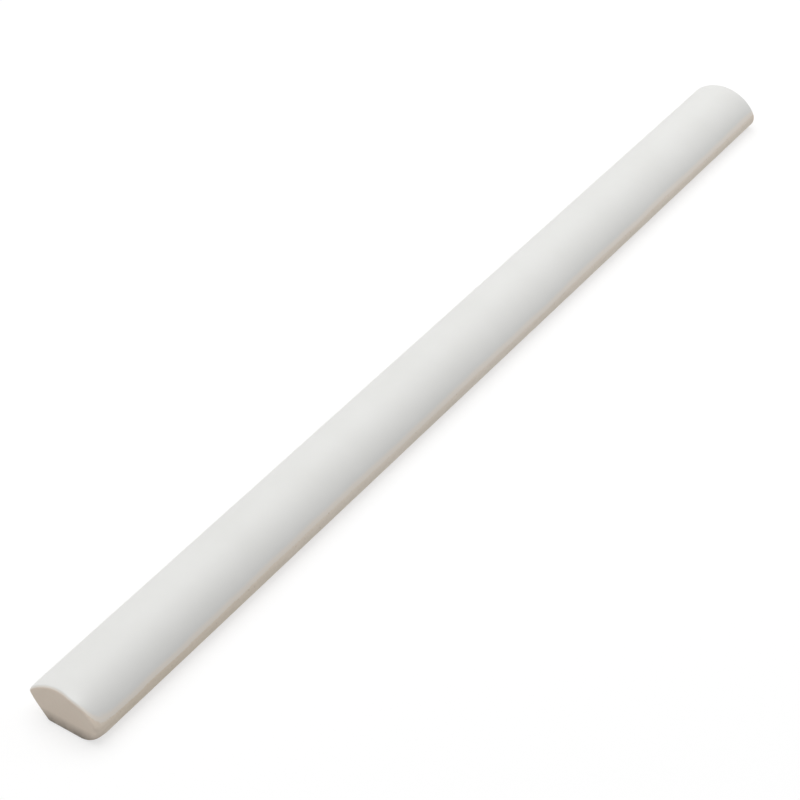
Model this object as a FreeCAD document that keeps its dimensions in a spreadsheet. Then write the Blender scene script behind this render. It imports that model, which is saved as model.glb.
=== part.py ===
import FreeCAD, Part
import os
from math import atan2, cos, pi, radians, sin, sqrt, tan
import Sketcher

# Bullnose tile: one bar of fired clay with a domed, glazed crown, pressed to one section and cut to length.
# Millimetres. X runs along the bar, Y across it and Z up; the origin is the middle of its underside.
# The rounded nose is at -Y, and the undercut back, which meets the neighbouring tile, is at +Y.

doc = FreeCAD.newDocument("bullnose_tile")

# Driving dimensions

DIMENSIONS = [
    ("tile_length", 200.0, "bar, end to end"),
    ("tile_width", 13.0, "nose to back arris, over all"),
    ("crown_height", 7.2, "underside to the top of the crown"),
    ("nose_radius", 2.4, "lower round of the nose, from the underside to its foremost line"),
    ("brow_radius", 1.8, "upper round of the nose, from its foremost line to the crown"),
    ("back_height", 4.3, "underside to the middle of the back arris"),
    ("back_angle", 50.0, "slope of the undercut back, in degrees from the underside"),
    ("arris_radius", 0.5, "round of the eased edges: back arris, heel and both cut ends"),
]

sheet = doc.addObject("Spreadsheet::Sheet", "Dimensions")
for row, (name, value, meaning) in enumerate(DIMENSIONS, start=1):
    sheet.set(f"A{row}", name)
    sheet.set(f"B{row}", str(value))
    sheet.set(f"C{row}", meaning)
    sheet.setAlias(f"B{row}", name)
doc.recompute()
size = {name: float(sheet.get(name)) for name, value, meaning in DIMENSIONS}

# The tile is one body

tile = doc.addObject("PartDesign::Body", "bullnose_tile")
tile.Label = "bullnose_tile"
tile.Placement = FreeCAD.Placement()

# Section across the bar: underside, undercut back, crown, and a nose of two rounds

section = tile.newObject("Sketcher::SketchObject", "section")
cross_plane = next(plane for plane in tile.Origin.OriginFeatures if plane.Role == "YZ_Plane")
section.AttachmentSupport = [(cross_plane, "")]
section.MapMode = "FlatFace"


def point(across, up):
    return FreeCAD.Vector(across, up, 0)


def circle(centre, radius):
    return Part.Circle(centre, FreeCAD.Vector(0, 0, 1), radius)


def draw(shape, construction=False):
    return section.addGeometry(shape, construction)


# Where the rounds lie: each stands at its own height, against the front or the back of the overall width

half_width = size["tile_width"] / 2
nose_centre = point(size["nose_radius"] - half_width, size["nose_radius"])
brow_centre = point(size["brow_radius"] - half_width, size["nose_radius"])
arris_centre = point(half_width - size["arris_radius"], size["back_height"])


# The crown is drawn where it touches the brow and the back arris from outside, with its top at crown height

def reach_to_round(crown_radius, centre, radius):
    drop = size["crown_height"] - centre.y - radius
    return sqrt(max(drop * (2 * crown_radius - drop - 2 * radius), 0))


smallest, largest = size["crown_height"] / 2, 10 * size["tile_width"]
for halving in range(50):
    crown_radius = (smallest + largest) / 2
    back_reach = reach_to_round(crown_radius, arris_centre, size["arris_radius"])
    front_reach = reach_to_round(crown_radius, brow_centre, size["brow_radius"])
    if back_reach + front_reach < arris_centre.x - brow_centre.x:
        smallest = crown_radius
    else:
        largest = crown_radius
crown_centre = point(arris_centre.x - back_reach, size["crown_height"] - crown_radius)
crown_first = atan2(arris_centre.y - crown_centre.y, arris_centre.x - crown_centre.x)
crown_last = atan2(brow_centre.y - crown_centre.y, brow_centre.x - crown_centre.x)

# The back runs up past the eased arris to the sharp corner that the pressed bar has

back_slope = radians(size["back_angle"])
along_back = point(cos(back_slope), sin(back_slope))
arris_foot = arris_centre + point(sin(back_slope), -cos(back_slope)) * size["arris_radius"]
arris_turn = crown_first + pi / 2 - back_slope
back_foot = arris_foot - along_back * (arris_foot.y / along_back.y)
back_top = arris_foot + along_back * (size["arris_radius"] * tan(arris_turn / 2))

underside = draw(Part.LineSegment(point(nose_centre.x, 0), back_foot))
back = draw(Part.LineSegment(back_foot, back_top))
crown = draw(Part.ArcOfCircle(circle(crown_centre, crown_radius), crown_first, crown_last))
brow = draw(Part.ArcOfCircle(circle(brow_centre, size["brow_radius"]), crown_last, pi))
nose = draw(Part.ArcOfCircle(circle(nose_centre, size["nose_radius"]), pi, 1.5 * pi))
back_arris = draw(circle(arris_centre, size["arris_radius"]), construction=True)
crown_top = draw(Part.Point(point(crown_centre.x, size["crown_height"])), construction=True)

# How the lines and arcs meet: sharp at the heel and the back, smooth round the crown and the nose

START, END, CENTRE = 1, 2, 3
ORIGIN = -1
ACROSS_AXIS = -1


def constrain(*rule):
    return section.addConstraint(Sketcher.Constraint(*rule))


constrain("Coincident", underside, END, back, START)
constrain("Coincident", back, END, crown, START)
constrain("Tangent", crown, END, brow, START)
constrain("Tangent", brow, END, nose, START)
constrain("Tangent", nose, END, underside, START)
constrain("Horizontal", underside)
constrain("PointOnObject", underside, START, ACROSS_AXIS)
constrain("Horizontal", brow, CENTRE, nose, CENTRE)
constrain("PointOnObject", crown_top, START, crown)
constrain("Vertical", crown_top, START, crown, CENTRE)

# The eased back arris is a construction circle, so that the width is right over the finished edge

constrain("Tangent", back_arris, back)
constrain("Tangent", back_arris, crown)


def drive(expression, *rule):
    section.setExpression(f"Constraints[{constrain(*rule)}]", expression)


drive("Dimensions.tile_width / 2", "DistanceX", nose, START, ORIGIN, START, half_width)
drive("Dimensions.tile_width / 2 - Dimensions.arris_radius",
      "DistanceX", ORIGIN, START, back_arris, CENTRE, arris_centre.x)
drive("Dimensions.back_height", "DistanceY", ORIGIN, START, back_arris, CENTRE, arris_centre.y)
drive("Dimensions.crown_height", "DistanceY", ORIGIN, START, crown_top, START, size["crown_height"])
drive("Dimensions.back_angle * 1 deg", "Angle", back, back_slope)
drive("Dimensions.nose_radius", "Radius", nose, size["nose_radius"])
drive("Dimensions.brow_radius", "Radius", brow, size["brow_radius"])
drive("Dimensions.arris_radius", "Radius", back_arris, size["arris_radius"])
section.Visibility = False
doc.recompute()

# The bar is the section run to both sides of the origin

bar = tile.newObject("PartDesign::Pad", "bar")
bar.Profile = section
bar.SideType = "Symmetric"
bar.setExpression("Length", "Dimensions.tile_length")
doc.recompute()

# Every sharp edge is eased before firing: the back arris, the heel and the outline of both cut ends

TOLERANCE = 1e-6
sharp_corners = [section.Geometry[back].StartPoint, section.Geometry[back].EndPoint]


def is_sharp(edge):
    if edge.BoundBox.XLength < TOLERANCE:
        return True
    place = point(edge.Vertexes[0].Y, edge.Vertexes[0].Z)
    return any(place.distanceToPoint(corner) < TOLERANCE for corner in sharp_corners)


sharp_edges = [f"Edge{number}" for number, edge in enumerate(bar.Shape.Edges, start=1) if is_sharp(edge)]
eased_edges = tile.newObject("PartDesign::Fillet", "eased_edges")
eased_edges.Base = (bar, sharp_edges)
eased_edges.setExpression("Radius", "Dimensions.arris_radius")
doc.recompute()

# Every object is sound before the tile is written

OUTLINE_EDGES = 5
for item in doc.Objects:
    if "Invalid" in item.State or "Error" in item.State:
        raise RuntimeError(f"{item.Label} did not build: {item.State}")
if not section.FullyConstrained:
    raise RuntimeError("a size of the section is left open")
if len(sharp_edges) != 2 * OUTLINE_EDGES + len(sharp_corners):
    raise RuntimeError("a sharp edge is missing")
if tile.Shape.isNull() or not tile.Shape.isValid() or len(tile.Shape.Solids) != 1:
    raise RuntimeError("the tile is not one sound solid")

os.makedirs("parts", exist_ok=True)
tile.Shape.exportStep(f"parts/{tile.Label}.step")
box = tile.Shape.optimalBoundingBox()
print(f"{tile.Label}: {box.XLength:.3f} x {box.YLength:.3f} x {box.ZLength:.3f} mm")
print(f"crown radius {section.Geometry[crown].Radius:.3f} mm, volume {tile.Shape.Volume / 1000:.3f} cm3")
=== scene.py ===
# %% [markdown]
# # A glazed bullnose tile
# A bullnose tile is a slim bar of fired clay that finishes the edge of a tiled wall. Its domed crown
# carries a satin white glaze. Its rounded nose, its two cut ends, its undercut back and its underside are
# bare clay. The imported CAD model comes in first as a fixed frame in metres: X runs along the bar, Y from
# the nose to the back, and Z up from the underside. Its box gives the bar's length and width.

# %% Load the frame
from math import atan2, cos, exp, hypot, pi, radians, sin, sqrt, tan

import bmesh
import bpy
from mathutils import Matrix, Vector, noise


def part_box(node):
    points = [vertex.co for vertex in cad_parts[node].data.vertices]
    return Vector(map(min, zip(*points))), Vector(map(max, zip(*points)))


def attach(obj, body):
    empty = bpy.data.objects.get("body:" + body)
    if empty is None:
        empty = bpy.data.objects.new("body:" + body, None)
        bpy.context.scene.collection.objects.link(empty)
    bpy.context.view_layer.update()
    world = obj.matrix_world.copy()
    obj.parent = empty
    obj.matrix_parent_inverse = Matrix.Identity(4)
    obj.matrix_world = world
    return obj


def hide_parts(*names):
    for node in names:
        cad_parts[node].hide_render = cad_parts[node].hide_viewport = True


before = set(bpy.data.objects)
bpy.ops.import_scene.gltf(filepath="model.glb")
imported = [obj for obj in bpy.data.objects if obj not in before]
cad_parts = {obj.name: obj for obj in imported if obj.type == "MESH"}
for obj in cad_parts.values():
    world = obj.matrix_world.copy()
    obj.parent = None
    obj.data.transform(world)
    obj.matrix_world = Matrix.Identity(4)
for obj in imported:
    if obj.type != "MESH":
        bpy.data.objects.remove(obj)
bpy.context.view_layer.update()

# %% [markdown]
# ## Camera
# The bar lies on a white table and is seen from above its nose, from beyond its near end. A long lens a
# good way off keeps its sides almost parallel. A camera can be aimed by eye, but this one's place, two
# angles and lens were worked out by fitting the bar's outline, so that the render can be laid over the
# photograph. The camera is level, so two angles aim it.

# %% Camera
CAMERA_PLACE = Vector((-0.26117, -0.17023, 0.24877))
LOOK_ROUND = radians(34.596)
LOOK_DOWN = radians(39.218)
LENS_MM = 104.09
SENSOR_MM = 36
CLIP_START = 0.01

aim = Vector((cos(LOOK_DOWN) * cos(LOOK_ROUND), cos(LOOK_DOWN) * sin(LOOK_ROUND), -sin(LOOK_DOWN)))
camera = bpy.data.objects.new("camera", bpy.data.cameras.new("camera"))
camera.location = CAMERA_PLACE
camera.rotation_euler = aim.to_track_quat("-Z", "Y").to_euler()
camera.data.sensor_width = SENSOR_MM
camera.data.lens = LENS_MM
camera.data.clip_start = CLIP_START
bpy.context.scene.collection.objects.link(camera)
bpy.context.scene.camera = camera
bpy.context.scene.view_settings.view_transform = "Standard"
print("camera at", tuple(camera.location))

# %% [markdown]
# ## Colours and nodes
# Colours are written as sRGB hex values, as a colour picker gives them, but Blender's sockets are linear,
# so one function converts them. A second one adds a node, sets its properties and fills its sockets: a
# socket is named, or numbered where two share a name, and its value may be an output of another node, which
# then gets linked.

# %% Helpers for materials
def linear(hex_colour):
    channels = [int(hex_colour[place:place + 2], 16) / 255 for place in (1, 3, 5)]
    return [c / 12.92 if c <= 0.04045 else ((c + 0.055) / 1.055) ** 2.4 for c in channels] + [1.0]


def add_node(tree, kind, sockets=None, **settings):
    node = tree.nodes.new(kind)
    for name, value in settings.items():
        setattr(node, name, value)
    for key, value in (sockets or {}).items():
        if isinstance(value, bpy.types.NodeSocket):
            tree.links.new(value, node.inputs[key])
        else:
            node.inputs[key].default_value = value
    return node


def new_material(name):
    material = bpy.data.materials.new(name)
    material.use_nodes = True
    material.node_tree.nodes.clear()
    return material


print("white in linear light:", linear("#ffffff"))

# %% [markdown]
# ## Floor
# The bar lies on plain white paper, so bright that its shadow is pale. Paper that is only lit would turn
# grey far from the lamps, and brighter lamps would wash out the bar. So part of what is seen of the sheet
# is a white glow, and the rest is lit paper, which carries the shadow. The glow's share grows with the
# distance from the bar until the paper is plain white. Only the camera, mirror reflections and clear glass
# see the glow: to all other light the sheet is pale paper, so the glow adds none to the bar.

# %% Who sees the white
def seen_rays(tree):
    ray = add_node(tree, "ShaderNodeLightPath").outputs
    mirrored = add_node(tree, "ShaderNodeMath", {
        0: ray["Is Camera Ray"], 1: ray["Is Glossy Ray"],
    }, operation="MAXIMUM")
    through = add_node(tree, "ShaderNodeMath", {
        0: mirrored.outputs[0], 1: ray["Is Transmission Ray"],
    }, operation="MAXIMUM")
    return through.outputs[0]


# Uncoated white paper: matt and even, so that the soft shadow is all that shows on it.
paper = new_material("white_paper")
tree = paper.node_tree
seen = seen_rays(tree)
print(len(tree.nodes), "nodes tell seen rays from bounced ones")

# %% Paper
# The glow is a little over white, because the lit paper that it is mixed with is a little under it.
PAPER_GLOW = 0.64
PAPER_WHITE = 1.045
GLOW_FROM = 0.2
GLOW_FULL = 0.55

spot = add_node(tree, "ShaderNodeTexCoord").outputs["Object"]
away = add_node(tree, "ShaderNodeVectorMath", {0: spot}, operation="LENGTH")
share = add_node(tree, "ShaderNodeMapRange", {
    "Value": away.outputs["Value"], "From Min": GLOW_FROM, "From Max": GLOW_FULL,
    "To Min": PAPER_GLOW, "To Max": 1.0,
})
glow = add_node(tree, "ShaderNodeMath", {0: seen, 1: share.outputs[0]}, operation="MULTIPLY")
shade = add_node(tree, "ShaderNodeMix", {
    0: seen, 6: linear("#ebebeb"), 7: linear("#ffffff"),
}, data_type="RGBA")
lit = add_node(tree, "ShaderNodeBsdfDiffuse", {"Color": shade.outputs[2]})
white = add_node(tree, "ShaderNodeEmission", {"Color": linear("#ffffff"), "Strength": PAPER_WHITE})
both = add_node(tree, "ShaderNodeMixShader", {0: glow.outputs[0], 1: lit.outputs[0], 2: white.outputs[0]})
add_node(tree, "ShaderNodeOutputMaterial", {"Surface": both.outputs[0]})
print("paper glows at", PAPER_GLOW, "under the bar, and fully from", GLOW_FULL, "m off")

# %% Sheet on the table
PAPER_HALF = 2.0
PAPER_DROP = 0.00002

bm = bmesh.new()
bmesh.ops.create_grid(bm, x_segments=1, y_segments=1, size=PAPER_HALF)
bmesh.ops.translate(bm, verts=bm.verts, vec=(0, 0, -PAPER_DROP))
floor = bpy.data.objects.new("floor", bpy.data.meshes.new("floor"))
bm.to_mesh(floor.data)
bm.free()
floor.data.materials.append(paper)
bpy.context.scene.collection.objects.link(floor)
print("floor", 2 * PAPER_HALF, "m square")

# %% [markdown]
# ## Light
# A big soft box hangs over the bar, a little behind it. That leaves the crown bright along its top and lets
# it fall off towards the nose, with one soft shadow on the nose's side. A small lamp would draw a hard
# bright line along the glaze instead. One small fill lifts the nose from in front of the far end, and
# another lifts the near end's face. Pale walls all round are the world: an even grey light to the bar, and
# plain white to the camera and to mirror reflections.

# %% Walls
WALL_LIGHT = 0.185

world = bpy.data.worlds.new("pale_walls")
bpy.context.scene.world = world
world.use_nodes = True
tree = world.node_tree
tree.nodes.clear()
walls = add_node(tree, "ShaderNodeBackground", {"Color": linear("#ffffff"), "Strength": WALL_LIGHT})
white = add_node(tree, "ShaderNodeBackground", {"Color": linear("#ffffff"), "Strength": 1.0})
shown = add_node(tree, "ShaderNodeMixShader", {
    0: seen_rays(tree), 1: walls.outputs[0], 2: white.outputs[0],
})
add_node(tree, "ShaderNodeOutputWorld", {"Surface": shown.outputs[0]})
print("walls at", WALL_LIGHT, "of white")

# %% Lamps
# Place and side of each square lamp in metres, and its power in watts. It points at the bar's middle.
LAMPS = {
    "soft_box": (Vector((0.085, 0.22, 0.82)), 1.1, 8.05),
    "far_fill": (Vector((0.28, -0.16, 0.25)), 0.3, 0.215),
    "near_fill": (Vector((-0.45, 0.05, 0.15)), 0.4, 0.118),
}

for name, (place, side, power) in LAMPS.items():
    lamp = bpy.data.objects.new(name, bpy.data.lights.new(name, "AREA"))
    lamp.data.shape = "SQUARE"
    lamp.data.size = side
    lamp.data.energy = power
    lamp.location = place
    lamp.rotation_euler = (-place).to_track_quat("-Z", "Y").to_euler()
    bpy.context.scene.collection.objects.link(lamp)
    print(name, "of", side, "m,", round(place.length, 2), "m off")

# %% [markdown]
# ## Section of the bar
# The clay was pressed through one shape, so the bar is a section run along a line. The section is all arcs
# and straight lines that touch smoothly, and a spin draws an arc: it sweeps a vertex about an axis and
# leaves a chain of edges behind it. Each spin starts from the last vertex of the one before, so the outline
# closes by itself. It starts where the nose meets the underside, and goes up over the crown and down the
# back. Sizes are in millimetres, as on a drawing, and the finished mesh is scaled to metres.

# %% Sizes of the section
MM_PER_METRE = 1000

low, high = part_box("bullnose_tile")
LENGTH = MM_PER_METRE * (high[0] - low[0])
WIDTH = MM_PER_METRE * (high[1] - low[1])
CROWN_HEIGHT = 7.2
CROWN_RADIUS = 7.891
NOSE_RADIUS = 2.4
BROW_RADIUS = 1.8
BACK_HEIGHT = 4.3
BACK_SLOPE = radians(50)
ARRIS_RADIUS = 0.5

nose_y = NOSE_RADIUS - WIDTH / 2
brow_y = BROW_RADIUS - WIDTH / 2
arris_y = WIDTH / 2 - ARRIS_RADIUS
heel_y = arris_y - (BACK_HEIGHT - ARRIS_RADIUS) / tan(BACK_SLOPE)
crown_z = CROWN_HEIGHT - CROWN_RADIUS
crown_y = brow_y + sqrt((CROWN_RADIUS - BROW_RADIUS) ** 2 - (NOSE_RADIUS - crown_z) ** 2)
crown_front = atan2(NOSE_RADIUS - crown_z, brow_y - crown_y)
crown_back = atan2(BACK_HEIGHT - crown_z, arris_y - crown_y)
print("bar", round(LENGTH, 2), "x", round(WIDTH, 2), "mm")
print("crown centre at", round(crown_y, 3), round(crown_z, 3), "mm")

# %% Outline of the section
NOSE_STEPS = 26
BROW_STEPS = 8
CROWN_STEPS = 96
ARRIS_STEPS = 8
HEEL_STEPS = 6
FLAT_CUTS = 9


def spin_on(start, centre_y, centre_z, turn, steps):
    made = bmesh.ops.spin(bm, geom=[start], cent=(start.co.x, centre_y, centre_z), axis=(1, 0, 0),
                          angle=turn, steps=steps)
    return next(part for part in made["geom_last"] if isinstance(part, bmesh.types.BMVert))


bm = bmesh.new()
nose_foot = bm.verts.new((-LENGTH / 2, nose_y, 0))
tip = spin_on(nose_foot, nose_y, NOSE_RADIUS, -pi / 2, NOSE_STEPS)
tip = spin_on(tip, brow_y, NOSE_RADIUS, crown_front - pi, BROW_STEPS)
tip = spin_on(tip, crown_y, crown_z, crown_back - crown_front, CROWN_STEPS)
arris_foot = spin_on(tip, arris_y, BACK_HEIGHT, BACK_SLOPE - pi / 2 - crown_back, ARRIS_STEPS)
back_foot = bmesh.ops.extrude_vert_indiv(bm, verts=[arris_foot])["verts"][0]
bmesh.ops.translate(bm, verts=[back_foot], vec=(0, heel_y - arris_y, ARRIS_RADIUS - BACK_HEIGHT))
heel_foot = spin_on(back_foot, heel_y, ARRIS_RADIUS, -BACK_SLOPE, HEEL_STEPS)
back = bm.edges.get((arris_foot, back_foot))
underside = bm.edges.new((heel_foot, nose_foot))
bmesh.ops.subdivide_edges(bm, edges=[back, underside], cuts=FLAT_CUTS)
print("outline of", len(bm.edges), "edges")

# %% [markdown]
# ## The bar
# Extruding the outline along the bar, one stop after another, gives a skin with rings of vertices at the
# stops. One long extrusion would give the same bar, but with no vertices between its ends to carry the edge
# of the glaze. The stops stand close together near the ends, where the glaze stops and corners are worn,
# and a millimetre apart between. Both ends are filled, and a bevel eases the sharp edge that the cut left
# round them.

# %% Run the section along the bar
FIRST_STOP = 0.8
CLOSE_STEP = 0.2
CLOSE_STOPS = 12
MID_FROM = 4

near_stops = [FIRST_STOP + CLOSE_STEP * stop for stop in range(CLOSE_STOPS)]
mid_stops = list(range(MID_FROM, round(LENGTH) - MID_FROM + 1))
stops = near_stops + mid_stops + [LENGTH - stop for stop in reversed(near_stops)] + [LENGTH]
ring = bm.edges[:]
reached = 0
for stop in stops:
    made = bmesh.ops.extrude_edge_only(bm, edges=ring)["geom"]
    ring = [part for part in made if isinstance(part, bmesh.types.BMEdge)]
    bmesh.ops.translate(bm, verts=[part for part in made if isinstance(part, bmesh.types.BMVert)],
                        vec=(stop - reached, 0, 0))
    reached = stop
caps = bmesh.ops.holes_fill(bm, edges=bm.edges, sides=0)["faces"]
print(len(stops), "stops,", len(caps), "end caps,", len(bm.faces), "faces")

# %% Ease the ends
END_EASE = 0.4
EASE_STEPS = 6
MERGE = 0.04

rim = [edge for cap in caps for edge in cap.edges]
bmesh.ops.bevel(bm, geom=rim, offset=END_EASE, offset_type="OFFSET", affect="EDGES", segments=EASE_STEPS,
                profile=0.5, material=-1, clamp_overlap=False)
bmesh.ops.remove_doubles(bm, verts=bm.verts, dist=MERGE)
bmesh.ops.recalc_face_normals(bm, faces=bm.faces)
print(len(bm.faces), "faces, open edges:", sum(not edge.is_manifold for edge in bm.edges))

# %% [markdown]
# ## Worn corners
# The nose has lost its sharp corner at the near end, where the bar was knocked and rubbed, and the back has
# lost a little of its own. A cut would leave a flat facet there. Wear takes the most from what sticks out,
# and so does smoothing: each rub moves a vertex towards the middle of its neighbours. The end faces are
# single flat faces until now, so each is extruded in place and shrunk a few times, which gives it rings of
# vertices to rub. The rubbing starts at the corner itself and spreads.

# %% Rings on the end faces
# Only the two end faces have more than four corners. They shrink towards the middle of the section.
RING_SHRINKS = [0.96] * 7 + [0.7, 0.4]
RING_MIDDLE = Vector((0, -0.3, 3.4))

end_faces = [face for face in bm.faces if len(face.verts) > 4]
about_middle = Matrix.Translation(-RING_MIDDLE)
for shrink in RING_SHRINKS:
    end_faces = bmesh.ops.extrude_discrete_faces(bm, faces=end_faces)["faces"]
    for face in end_faces:
        bmesh.ops.scale(bm, verts=face.verts, vec=(1, shrink, shrink), space=about_middle)
bmesh.ops.poke(bm, faces=end_faces)
print(len(RING_SHRINKS), "rings on each of", len(end_faces), "end faces")

# %% Rub the near corners
# Each corner's place and reach in millimetres, and how often it is rubbed.
WORN_CORNERS = [
    (Vector((-LENGTH / 2, -5.9, 1.2)), 2.4, 110),
    (Vector((-LENGTH / 2, 6.4, 4.4)), 1.2, 14),
]
RUB = 0.5
FIRST_SPREAD = 0.4

for corner, reach, rubs in WORN_CORNERS:
    close = [vert for vert in bm.verts if (vert.co - corner).length < reach]
    for rub in range(rubs):
        spread = reach * (FIRST_SPREAD + (1 - FIRST_SPREAD) * rub / rubs)
        worn = [vert for vert in close if (vert.co - corner).length < spread]
        bmesh.ops.smooth_vert(bm, verts=worn, factor=RUB,
                              use_axis_x=True, use_axis_y=True, use_axis_z=True)
    print(len(close), "vertices rubbed, open edges:", sum(not edge.is_manifold for edge in bm.edges))

# %% [markdown]
# ## Glaze film
# The glaze was sprayed on the crown and wiped off level along the nose and the back. It laps over the rims
# of the cut ends, clearly more at the far one, and at the near end it draws back from the rim towards the
# nose. Just inside that rim it carries a painted highlight, where its lip catches the light. The glaze is a
# film under a tenth of a millimetre thick, which thins out to nothing at its edge. It could be a second
# skin, but the fired film is part of the bar, so each vertex keeps how much film covers it, from 0 to 1,
# and how strong the painted highlight is there. Bare clay beside the film lies lower by the film's
# thickness, and the material reads the same numbers.

# %% Edge along the nose
# The film ends GLAZE_LINE up the nose, and its edge wanders in a slow and a quick wave.
GLAZE_LINE = 2.9
SLOW_WAVE = 19
SLOW_DEPTH = 0.16
SLOW_SEED = (0.3, 0.7)
QUICK_WAVE = 4
QUICK_DEPTH = 0.12
QUICK_SEED = (1.7, 0.2)


def ease(value):
    value = min(max(value, 0), 1)
    return value * value * (3 - 2 * value)


def line_height(x):
    slow = SLOW_DEPTH * noise.noise((x / SLOW_WAVE, *SLOW_SEED))
    quick = QUICK_DEPTH * noise.noise((x / QUICK_WAVE, *QUICK_SEED))
    return GLAZE_LINE + slow + quick


print("the film ends", round(line_height(0), 2), "mm up, half way along the nose")

# %% Edge at the cut ends
# How far a place lies inside the film's end, by the way along the crown and down the end face, and over how
# long a way the film fades out there. In front of BOW_FROM the near edge bows back from the rim.
NEAR_LAP = 0.28
FAR_LAP = 0.8
LAP_WAVE = 1.6
LAP_DEPTH = 0.05
ENDS_APART = 40
LAP_SEED = 2.1
BOW_FROM = -1.5
NEAR_BOW = 0.048
END_FADE = 0.7


def from_end(place):
    x, y, z = place
    depth = max(CROWN_RADIUS - hypot(y - crown_y, z - crown_z), 0)
    bow = NEAR_BOW * max(BOW_FROM - y, 0) ** 2 if x < 0 else 0
    wave = LAP_DEPTH * noise.noise((y / LAP_WAVE, x / ENDS_APART, LAP_SEED))
    lap = (NEAR_LAP if x < 0 else FAR_LAP) + wave - bow
    return LENGTH / 2 - abs(x) - depth + lap, END_FADE + bow


middle = (0, crown_y, CROWN_HEIGHT)
print("mm from the crown's middle to the film's end:", round(from_end(middle)[0], 1))

# %% How much film covers a place
# A millimetre along the brow rises by BROW_RISE. Towards the near end the film fades out over a longer way.
BROW_RISE = 0.85
NOSE_FADE = 1.95
CORNER_FADE = 3.3
CORNER_RUN = 4.0


def film_over(place):
    along, end_fade = from_end(place)
    near_end = 1 - ease(along / CORNER_RUN) if place[0] < 0 else 0
    nose_fade = NOSE_FADE + (CORNER_FADE - NOSE_FADE) * near_end
    up = (place[2] - line_height(place[0])) / BROW_RISE
    return ease(up / nose_fade) * ease(along / end_fade), min(up, along)


print("film on the crown's top, and mm from its edge:", film_over(middle))

# %% Lay the film
# Clay lies lower by FILM up to STEP_NEAR beyond the film's edge, and has its own size again STEP_RUN on.
FILM = 0.08
STEP_NEAR = 0.4
STEP_RUN = 2.0

film = bm.verts.layers.float.new("glaze")
for vert in bm.verts:
    vert[film], inside = film_over(vert.co)
    lower = FILM * (1 - vert[film]) * (1 - ease((-inside - STEP_NEAR) / STEP_RUN))
    out = Vector((0, vert.co.y - crown_y, vert.co.z - crown_z)).normalized()
    vert.co -= out * lower
print("glazed vertices:", sum(vert[film] > 0.5 for vert in bm.verts), "of", len(bm.verts))

# %% Where the rim highlight is painted
# The painted highlight is centred at its place across the bar, fades to both sides, and along the bar from
# the near rim.
HIGHLIGHT_PLACE = -2.2
HIGHLIGHT_HALF = 1.7
HIGHLIGHT_RUN = 2.2

rim_highlight = bm.verts.layers.float.new("rim_highlight")
for vert in bm.verts:
    across = (vert.co.y - HIGHLIGHT_PLACE) / HIGHLIGHT_HALF
    along = max(from_end(vert.co)[0], 0)
    vert[rim_highlight] = exp(-along / HIGHLIGHT_RUN - across ** 2) if vert.co.x < 0 else 0
print("most pooled:", round(max(vert[rim_highlight] for vert in bm.verts), 2))

# %% [markdown]
# ## A cut that is not quite square
# The near end stands upright at its foot, but its top leans in by half a millimetre, as where a wire was
# drawn down through the clay. A shear would lean the foot too, so the lean grows with the cube of the
# height, and it fades out along the bar. Over a short stretch of the rim, towards the nose, a lip was left
# that leans in less.

# %% Lean the near end
CUT_LEAN = 0.55
LEAN_POWER = 3
LEAN_REACH = 6
LIP_PLACE = -1.7
LIP_HALF = 1.6
LIP_SHARE = 0.4

for vert in bm.verts:
    near_end = ease((LEAN_REACH - LENGTH / 2 - vert.co.x) / LEAN_REACH)
    lip = LIP_SHARE * exp(-((vert.co.y - LIP_PLACE) / LIP_HALF) ** 2)
    vert.co.x += CUT_LEAN * (1 - lip) * near_end * (vert.co.z / CROWN_HEIGHT) ** LEAN_POWER
print("the near end's top leans in by", CUT_LEAN, "mm")

# %% [markdown]
# ## The finished bar
# The mesh is scaled to metres and shaded smooth, because all its edges are modelled as rounds. It then goes
# to the frame: it rides on the tile's only body and stands for the CAD solid.

# %% The finished bar
bmesh.ops.scale(bm, verts=bm.verts, vec=[1 / MM_PER_METRE] * 3)
for face in bm.faces:
    face.smooth = True
bar = bpy.data.objects.new("glazed_bar", bpy.data.meshes.new("glazed_bar"))
bm.to_mesh(bar.data)
bm.free()
bpy.context.scene.collection.objects.link(bar)
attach(bar, "root")
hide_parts("bullnose_tile")
print("glazed_bar:", len(bar.data.polygons), "faces")

# %% [markdown]
# ## Satin glaze on pressed clay
# One material holds both, because the film fades into the clay: two materials would meet in a hard line.
# Patterns are read at Object coordinates, which are metres on the bar itself, and the film's cover comes
# from the mesh. A pattern's scale is worked out from its size in millimetres.

# %% Where patterns are read
# Cloudy glass fused to sandy clay: a broad soft sheen on the crown, and a dry matt skin on the bare clay.
glazed_clay = new_material("satin_glaze_on_pressed_clay")
tree = glazed_clay.node_tree
place = add_node(tree, "ShaderNodeTexCoord").outputs["Object"]
cover = add_node(tree, "ShaderNodeAttribute", attribute_name="glaze").outputs["Fac"]
apart = add_node(tree, "ShaderNodeSeparateXYZ", {0: place})


def per_metre(millimetres):
    return MM_PER_METRE / millimetres


print("patterns of a millimetre repeat", per_metre(1), "times a metre")

# %% [markdown]
# ### Bare clay
# The clay is pale biscuit, dry and matt. It has broad warmer and cooler patches from the kiln, a sandy
# grain and a few specks of darker grit, and it is a shade darker towards the near end. Noise gives patches
# and grain, and a Voronoi pattern gives single specks: one round each of its points, each with a strength
# of its own.

# %% Patches and grain
# Real grains of sand are a tenth of a millimetre or less: they are drawn coarser, so that they show.
KILN_PATCH = 11
GRAIN = 0.45
GRAIN_SHARE = 0.45

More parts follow.
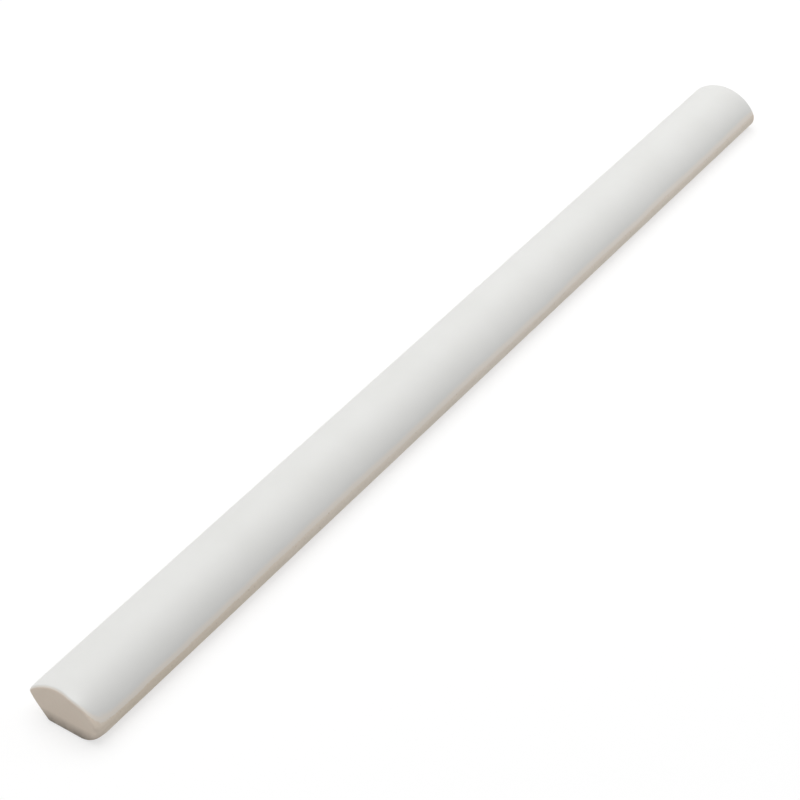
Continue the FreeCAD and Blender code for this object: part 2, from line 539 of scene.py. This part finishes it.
patch = add_node(tree, "ShaderNodeTexNoise", {
    "Vector": place, "Scale": per_metre(KILN_PATCH), "Detail": 3.0,
})
grain = add_node(tree, "ShaderNodeTexNoise", {
    "Vector": place, "Scale": per_metre(GRAIN), "Detail": 4.0,
})
tone = add_node(tree, "ShaderNodeMix", {
    0: patch.outputs["Fac"], 6: linear("#e7dccc"), 7: linear("#f4eadf"),
}, data_type="RGBA")
sandy = add_node(tree, "ShaderNodeMix", {
    0: grain.outputs["Fac"], 6: linear("#ded3c4"), 7: linear("#fbf4ea"),
}, data_type="RGBA")
body = add_node(tree, "ShaderNodeMix", {
    0: GRAIN_SHARE, 6: tone.outputs[2], 7: sandy.outputs[2],
}, data_type="RGBA")
print("clay: patches of", KILN_PATCH, "mm, grain of", GRAIN, "mm")

# %% Darker near end
# Both places are in metres along the bar.
SHADE_FROM = -0.095
SHADE_GONE = -0.02

# The clay's colour is made a little darker and yellower towards the near end.
shade = add_node(tree, "ShaderNodeMapRange", {
    "Value": apart.outputs["X"], "From Min": SHADE_FROM, "From Max": SHADE_GONE,
    "To Min": 1.0, "To Max": 0.0,
}, interpolation_type="SMOOTHSTEP")
near_toned = add_node(tree, "ShaderNodeMix", {
    0: shade.outputs[0], 6: body.outputs[2], 7: linear("#faf7f2"),
}, data_type="RGBA", blend_type="MULTIPLY")
print("clay is darker from", SHADE_GONE, "m on, towards the near end")

# %% Grit
# A speck's radius is a share of the spacing, and only points with a high random number get a dark one.
GRIT_SPACING = 1.2
GRIT_STRENGTH = 0.5
GRIT_CORE = 0.07
GRIT_RIM = 0.17
GRIT_FEWEST = 0.45
GRIT_DARKEST = 0.85

grit = add_node(tree, "ShaderNodeTexVoronoi", {"Vector": place, "Scale": per_metre(GRIT_SPACING)})
dark = add_node(tree, "ShaderNodeMapRange", {
    "Value": grit.outputs["Color"], "From Min": GRIT_FEWEST, "From Max": GRIT_DARKEST,
    "To Max": GRIT_STRENGTH,
})
speck = add_node(tree, "ShaderNodeMapRange", {
    "Value": grit.outputs["Distance"], "From Min": GRIT_CORE, "From Max": GRIT_RIM,
    "To Min": dark.outputs[0], "To Max": 0.0,
})
skin_colour = add_node(tree, "ShaderNodeMix", {
    0: speck.outputs[0], 6: near_toned.outputs[2], 7: linear("#b3a391"),
}, data_type="RGBA")
print("grit at most every", GRIT_SPACING, "mm")

# %% [markdown]
# ### Cut ends and painted shade at the foot
# A cut shows the core of the clay, a little warmer than its fired skin. The foot of the near end is darkened
# by painted shade where it meets the table, smudged and fading upwards. There is little of it along the
# nose, and less at the far end. Both could be drawn into a texture, but they go by the place on the bar: X
# tells how near a cut end is, and Z how high above the table.

# %% Core of the clay
CUT_DEPTH = 2.5
CUT_WARMTH = 0.8

from_middle = add_node(tree, "ShaderNodeMath", {0: apart.outputs["X"]}, operation="ABSOLUTE")
cut = add_node(tree, "ShaderNodeMapRange", {
    "Value": from_middle.outputs[0],
    "From Min": (LENGTH / 2 - CUT_DEPTH) / MM_PER_METRE, "From Max": LENGTH / 2 / MM_PER_METRE,
})
warm = add_node(tree, "ShaderNodeMath", {0: cut.outputs[0], 1: CUT_WARMTH}, operation="MULTIPLY")
core_colour = add_node(tree, "ShaderNodeMix", {
    0: warm.outputs[0], 6: skin_colour.outputs[2], 7: linear("#eadccd"),
}, data_type="RGBA")
print("the core's colour starts", CUT_DEPTH, "mm from a cut end")

# %% Where painted shade lies at the foot
# Heights are in millimetres, and NEAR_X is in metres along the bar.
FOOT_HEIGHT = 2.5
FOOT_FADE = 1.1
FOOT_SHADE = 0.75
FOOT_ALONG = 0.1
FAR_SHARE = 0.3
NEAR_X = -0.09

foot = add_node(tree, "ShaderNodeMapRange", {
    "Value": apart.outputs["Z"], "From Max": FOOT_HEIGHT / MM_PER_METRE, "To Min": 1.0, "To Max": 0.0,
})
foot = add_node(tree, "ShaderNodeMath", {0: foot.outputs[0], 1: FOOT_FADE}, operation="POWER")
near = add_node(tree, "ShaderNodeMapRange", {
    "Value": apart.outputs["X"], "From Min": NEAR_X, "From Max": -NEAR_X,
    "To Min": FOOT_SHADE, "To Max": FAR_SHARE * FOOT_SHADE,
})
near_cut_ends = add_node(tree, "ShaderNodeMapRange", {"Value": cut.outputs[0], "To Min": FOOT_ALONG})
print("grime up to", FOOT_HEIGHT, "mm")

# %% Smudged painted shade
SMUDGE = 1.4
SMUDGE_FROM = 0.3
SMUDGE_FULL = 0.7
SMUDGE_LEAST = 0.8
SMUDGE_MOST = 1.2

smudge = add_node(tree, "ShaderNodeTexNoise", {
    "Vector": place, "Scale": per_metre(SMUDGE), "Detail": 2.0,
})
smudge = add_node(tree, "ShaderNodeMapRange", {
    "Value": smudge.outputs["Fac"], "From Min": SMUDGE_FROM, "From Max": SMUDGE_FULL,
    "To Min": SMUDGE_LEAST, "To Max": SMUDGE_MOST,
})
foot_shade = smudge
for part in (foot, near, near_cut_ends):
    foot_shade = add_node(tree, "ShaderNodeMath", {
        0: foot_shade.outputs[0], 1: part.outputs[0],
    }, operation="MULTIPLY")
# Painted shade: the clay is darkened where its foot meets the table, most at the near end's foot.
clay_colour = add_node(tree, "ShaderNodeMix", {
    0: foot_shade.outputs[0], 6: core_colour.outputs[2], 7: linear("#67605a"),
}, data_type="RGBA")
print("smudges of", SMUDGE, "mm")

# %% [markdown]
# ### Glaze and its thin edge
# The glaze is a satin white: glass made cloudy and a little rough, so that it shows a broad soft sheen and
# no mirror image. It is faintly clouded, and a painted highlight whitens it just inside the near rim. Where
# the film thins out, the warm clay shows through and turns it cream, and where it ends, the sand breaks up
# its edge. The colour goes from clay to cream as the film starts. From a third of the full thickness on, it
# turns from cream to white.

# %% Glaze
CLOUD = 9

cloud = add_node(tree, "ShaderNodeTexNoise", {
    "Vector": place, "Scale": per_metre(CLOUD), "Detail": 3.0,
})
clouded = add_node(tree, "ShaderNodeMix", {
    0: cloud.outputs["Fac"], 6: linear("#e1e1de"), 7: linear("#e9e9e7"),
}, data_type="RGBA")
# Painted highlight: the glaze is whiter just inside the near rim, where its lip catches the light.
lip_highlight = add_node(tree, "ShaderNodeAttribute", attribute_name="rim_highlight").outputs["Fac"]
glaze_colour = add_node(tree, "ShaderNodeMix", {
    0: lip_highlight, 6: clouded.outputs[2], 7: linear("#f5f5f3"),
}, data_type="RGBA")
print("glaze: clouds of", CLOUD, "mm")

# %% Film over clay
# Shares of the film's full thickness: how far the sand breaks up its edge, and where each colour starts.
RAGGED = 0.08
CREAM_FROM = 0.05
CREAM_FULL = 0.2
WHITE_FROM = 0.34
CLAY_ROUGHNESS = 0.9
GLAZE_ROUGHNESS = 0.5

ragged = add_node(tree, "ShaderNodeMapRange", {
    "Value": grain.outputs["Fac"], "To Min": -RAGGED, "To Max": RAGGED,
})
edge = add_node(tree, "ShaderNodeMath", {0: cover, 1: ragged.outputs[0]}, operation="ADD")
thin = add_node(tree, "ShaderNodeMapRange", {
    "Value": edge.outputs[0], "From Min": CREAM_FROM, "From Max": CREAM_FULL,
}, interpolation_type="SMOOTHSTEP")
full = add_node(tree, "ShaderNodeMapRange", {
    "Value": edge.outputs[0], "From Min": WHITE_FROM, "From Max": 1.0,
}, interpolation_type="SMOOTHSTEP")
cream = add_node(tree, "ShaderNodeMix", {
    0: thin.outputs[0], 6: clay_colour.outputs[2], 7: linear("#f0e9e0"),
}, data_type="RGBA")
colour = add_node(tree, "ShaderNodeMix", {
    0: full.outputs[0], 6: cream.outputs[2], 7: glaze_colour.outputs[2],
}, data_type="RGBA")
rough = add_node(tree, "ShaderNodeMix", {
    0: thin.outputs[0], 2: CLAY_ROUGHNESS, 3: GLAZE_ROUGHNESS,
}, data_type="FLOAT")
print("film: cream from", CREAM_FULL, "of its thickness, white from", WHITE_FROM)

# %% [markdown]
# ### Relief
# Close to, the glaze has the shallow ripple of melted glass, and the clay has its grain, faint lines drawn
# along the bar by the press, and drag lines down the cut ends. All are a few hundredths of a millimetre
# deep, too fine for geometry, so they are bumps. Each bump takes the one before as its normal, and the film
# decides how strong each is: the ripple only shows on glaze, and the others only on bare clay.

# %% Ripple, press lines and grain
# Real press lines are finer than this: they are drawn coarser, so that they show. Depths are in metres.
RIPPLE = 2.4
RIPPLE_DEPTH = 0.00001
PRESS_LINE = 0.5
PRESS_STRETCH = 0.02
PRESS_DEPTH = 0.00002
GRAIN_DEPTH = 0.00003

bare = add_node(tree, "ShaderNodeMath", {0: 1.0, 1: thin.outputs[0]}, operation="SUBTRACT")
ripple = add_node(tree, "ShaderNodeTexNoise", {
    "Vector": place, "Scale": per_metre(RIPPLE), "Detail": 1.0,
})
drawn = add_node(tree, "ShaderNodeMapping", {"Vector": place, "Scale": (PRESS_STRETCH, 1, 1)})
lines = add_node(tree, "ShaderNodeTexNoise", {
    "Vector": drawn.outputs[0], "Scale": per_metre(PRESS_LINE), "Detail": 2.0,
})
glassy = add_node(tree, "ShaderNodeBump", {
    "Strength": thin.outputs[0], "Distance": RIPPLE_DEPTH, "Height": ripple.outputs["Fac"],
})
pressed = add_node(tree, "ShaderNodeBump", {
    "Strength": bare.outputs[0], "Distance": PRESS_DEPTH, "Height": lines.outputs["Fac"],
    "Normal": glassy.outputs[0],
})
sand = add_node(tree, "ShaderNodeBump", {
    "Strength": bare.outputs[0], "Distance": GRAIN_DEPTH, "Height": grain.outputs["Fac"],
    "Normal": pressed.outputs[0],
})
print("ripple of", RIPPLE, "mm, press lines of", PRESS_LINE, "mm")

# %% Drag lines on the cut ends
# They run down the face, and are drawn coarser than the scratches of a real wire, so that they show.
DRAG_LINE = 0.4
DRAG_STRETCH = 0.08
DRAG_DEPTH = 0.00003
FACE_FROM = 0.7
FACE_FULL = 0.85

combed = add_node(tree, "ShaderNodeMapping", {"Vector": place, "Scale": (1, 1, DRAG_STRETCH)})
drag = add_node(tree, "ShaderNodeTexNoise", {
    "Vector": combed.outputs[0], "Scale": per_metre(DRAG_LINE), "Detail": 2.0,
})
on_face = add_node(tree, "ShaderNodeMapRange", {
    "Value": cut.outputs[0], "From Min": FACE_FROM, "From Max": FACE_FULL,
})
on_face = add_node(tree, "ShaderNodeMath", {
    0: on_face.outputs[0], 1: bare.outputs[0],
}, operation="MULTIPLY")
dragged = add_node(tree, "ShaderNodeBump", {
    "Strength": on_face.outputs[0], "Distance": DRAG_DEPTH, "Height": drag.outputs["Fac"],
    "Normal": sand.outputs[0],
})
print("drag lines of", DRAG_LINE, "mm")

# %% Shader of the bar
GLAZE_IOR = 1.42

skin = add_node(tree, "ShaderNodeBsdfPrincipled", {
    "Base Color": colour.outputs[2], "Roughness": rough.outputs[0], "IOR": GLAZE_IOR,
    "Normal": dragged.outputs[0],
})
add_node(tree, "ShaderNodeOutputMaterial", {"Surface": skin.outputs[0]})
bar.data.materials.append(glazed_clay)
print(len(tree.nodes), "nodes in the glaze and clay")
